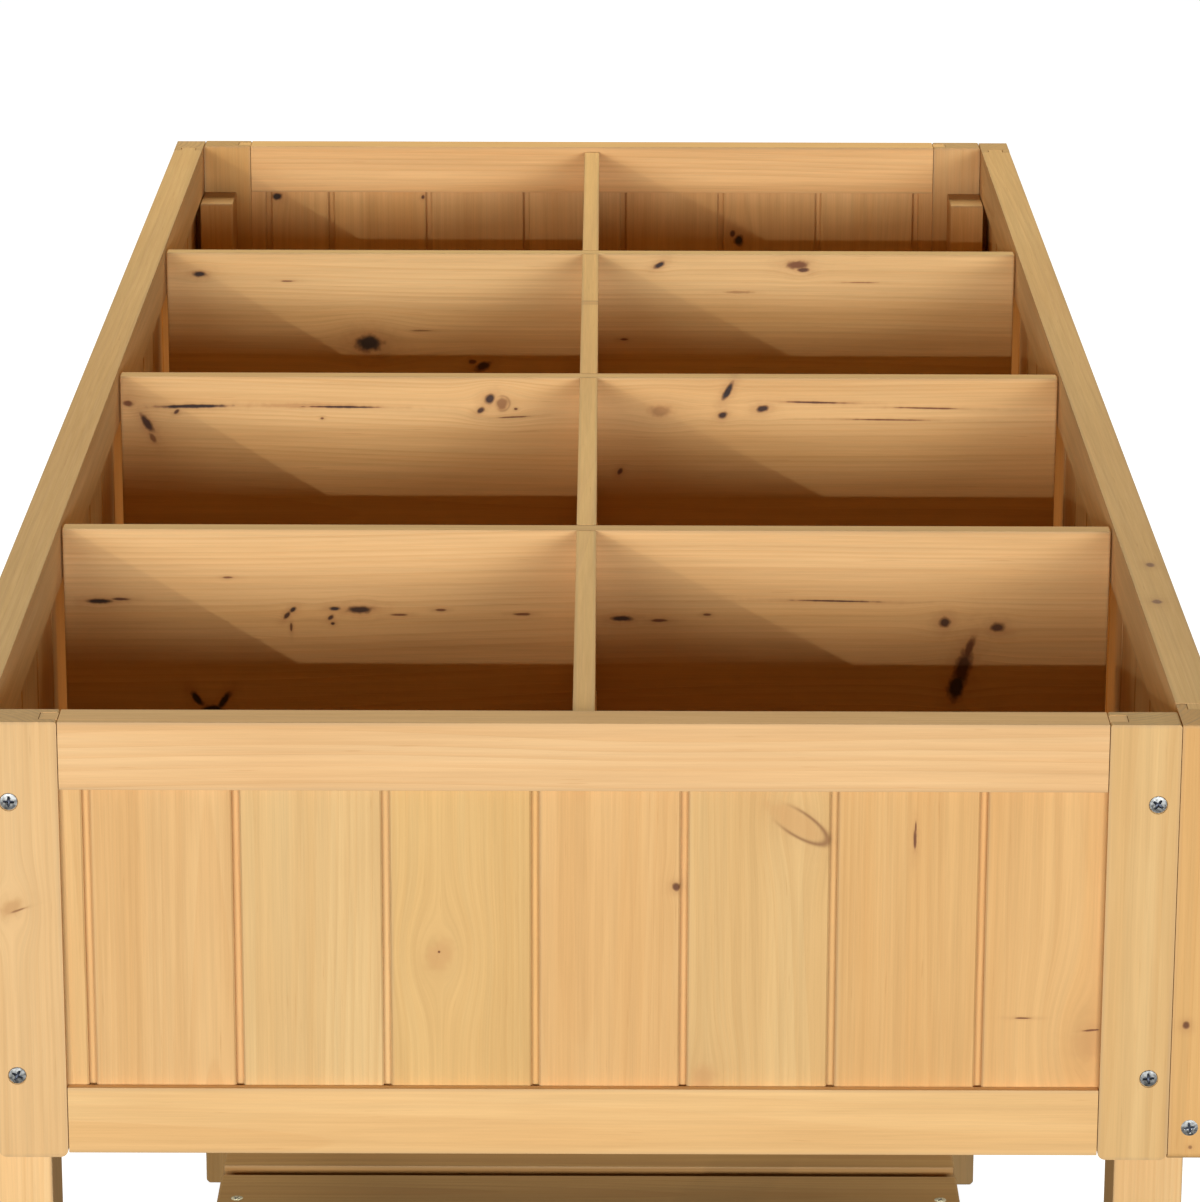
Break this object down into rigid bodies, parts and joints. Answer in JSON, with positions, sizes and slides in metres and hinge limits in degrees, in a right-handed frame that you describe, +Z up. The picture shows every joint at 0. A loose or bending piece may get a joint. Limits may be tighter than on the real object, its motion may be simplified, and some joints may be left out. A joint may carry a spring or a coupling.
{
  "type": "raised planter on legs",
  "caption": "Wooden raised garden planter: framed box on legs, split into compartments by loose half-lapped boards, with a slatted shelf below.",
  "frame": {"origin": "on the ground, under the middle of the planter's footprint", "axes": "+X across the planter to the right, +Y along its length away from the near end, +Z up"},
  "size_m": [0.54, 1.23, 0.71],
  "materials": {
    "frame_wood": "planed untreated softwood",
    "board_wood": "planed untreated softwood boards",
    "divider_wood": "planed untreated softwood, knotty",
    "shelf_wood": "planed untreated softwood slats",
    "screw_steel": "zinc plated"
  },
  "bodies": {
    "planter_body": {"near_end_stile_left": "frame_wood", "near_end_stile_right": "frame_wood", "near_end_top_rail": "frame_wood", "near_end_bottom_rail": "frame_wood", "near_end_boards": "board_wood", "near_left_leg": "frame_wood", "near_right_leg": "frame_wood", "near_left_lower_screw": "screw_steel", "near_right_lower_screw": "screw_steel", "near_left_upper_screw": "screw_steel", "near_right_upper_screw": "screw_steel", "near_floor_bearer": "shelf_wood", "far_end_stile_right": "frame_wood", "far_end_stile_left": "frame_wood", "far_end_top_rail": "frame_wood", "far_end_bottom_rail": "frame_wood", "far_end_boards": "board_wood", "far_right_leg": "frame_wood", "far_left_leg": "frame_wood", "far_right_lower_screw": "screw_steel", "far_left_lower_screw": "screw_steel", "far_right_upper_screw": "screw_steel", "far_left_upper_screw": "screw_steel", "far_floor_bearer": "shelf_wood", "left_side_stile_far": "frame_wood", "left_side_stile_near": "frame_wood", "left_side_top_rail": "frame_wood", "left_side_bottom_rail": "frame_wood", "left_side_boards": "board_wood", "right_side_stile_near": "frame_wood", "right_side_stile_far": "frame_wood", "right_side_top_rail": "frame_wood", "right_side_bottom_rail": "frame_wood", "right_side_boards": "board_wood", "floor_board_1": "shelf_wood", "floor_board_2": "shelf_wood", "floor_board_3": "shelf_wood", "floor_board_4": "shelf_wood", "floor_board_5": "shelf_wood", "floor_board_6": "shelf_wood", "middle_floor_bearer": "shelf_wood", "shelf_bearer_left": "shelf_wood", "shelf_bearer_right": "shelf_wood", "shelf_slat_1": "shelf_wood", "shelf_slat_2": "shelf_wood", "shelf_slat_3": "shelf_wood", "shelf_slat_4": "shelf_wood", "shelf_slat_5": "shelf_wood", "shelf_slat_6": "shelf_wood", "shelf_slat_7": "shelf_wood", "shelf_slat_8": "shelf_wood", "shelf_slat_9": "shelf_wood", "shelf_slat_10": "shelf_wood", "shelf_slat_11": "shelf_wood", "shelf_slat_12": "shelf_wood", "shelf_slat_13": "shelf_wood"},
    "long_divider": {"long_divider": "divider_wood"},
    "cross_divider_1": {"cross_divider_1": "divider_wood"},
    "cross_divider_2": {"cross_divider_2": "divider_wood"},
    "cross_divider_3": {"cross_divider_3": "divider_wood"}
  },
  "joints": [
    {"name": "long_divider_lift", "type": "slide", "parent": "planter_body", "child": "long_divider", "axis": [0, 0, 1], "range_m": [0, 0.2]},
    {"name": "cross_divider_1_lift", "type": "slide", "parent": "long_divider", "child": "cross_divider_1", "axis": [0, 0, 1], "range_m": [0, 0.2]},
    {"name": "cross_divider_2_lift", "type": "slide", "parent": "long_divider", "child": "cross_divider_2", "axis": [0, 0, 1], "range_m": [0, 0.2]},
    {"name": "cross_divider_3_lift", "type": "slide", "parent": "long_divider", "child": "cross_divider_3", "axis": [0, 0, 1], "range_m": [0, 0.2]}
  ]
}
